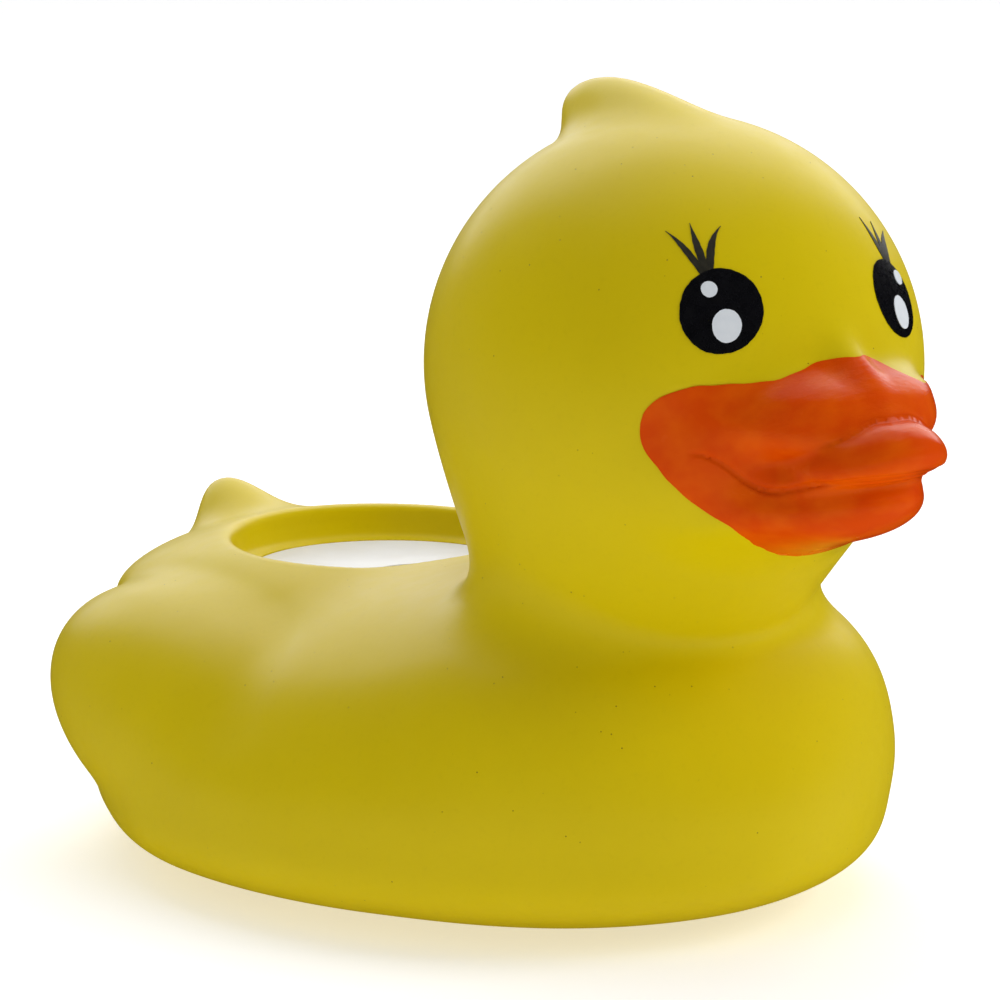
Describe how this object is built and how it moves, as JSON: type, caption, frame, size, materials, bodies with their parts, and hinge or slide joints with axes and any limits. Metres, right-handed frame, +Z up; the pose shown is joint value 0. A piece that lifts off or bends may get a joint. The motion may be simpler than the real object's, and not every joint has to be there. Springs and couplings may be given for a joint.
{
  "type": "floating chlorine dispenser",
  "caption": "Duck-shaped hollow pool float carrying a tablet canister in a well through its back, with a lift-and-turn lid and a turning flow dial under the belly",
  "frame": {"origin": "centre of the footprint of the whole part, on the plane the belly rests on", "axes": "+Z up, the duck faces -Y, its left side is +X; metres"},
  "size_m": [0.211, 0.3231, 0.2326],
  "materials": {
    "yellow_vinyl": "rotationally moulded soft vinyl, satin yellow; bill, eyes and lashes sprayed on the same moulding",
    "plug_vinyl": "soft yellow vinyl plug",
    "white_polypropylene": "white moulded polypropylene, satin",
    "black_rubber": "black moulded rubber",
    "stainless_steel": "turned stainless steel",
    "ballast_steel": "pressed stainless ballast weight"
  },
  "bodies": {
    "float_and_canister": {"duck_float": "yellow_vinyl", "float_vent_plug": "plug_vinyl", "canister": "white_polypropylene", "canister_gasket": "black_rubber", "locking_ring": "white_polypropylene", "ballast_ring": "ballast_steel", "base_grille": "white_polypropylene", "pivot_screw": "stainless_steel", "pivot_washer": "stainless_steel", "grille_screw_1": "stainless_steel", "grille_screw_2": "stainless_steel", "grille_screw_3": "stainless_steel"},
    "lid_seal_ring": {"lid_seal": "black_rubber"},
    "lid_cover": {"lid": "white_polypropylene"},
    "dial": {"flow_dial": "white_polypropylene"}
  },
  "joints": [
    {"name": "lid_lift", "type": "slide", "parent": "float_and_canister", "child": "lid_seal_ring", "axis": [0, 0, 1], "range_m": [0, 0.06]},
    {"name": "lid_turn", "type": "hinge", "parent": "lid_seal_ring", "child": "lid_cover", "pos_m": [0, 0.0667, 0.0724], "axis": [0, 0, 1], "range_deg": [0, 40]},
    {"name": "dial_turn", "type": "hinge", "parent": "float_and_canister", "child": "dial", "pos_m": [0, 0.0667, 0.004], "axis": [0, 0, 1], "range_deg": [0, 30]}
  ]
}
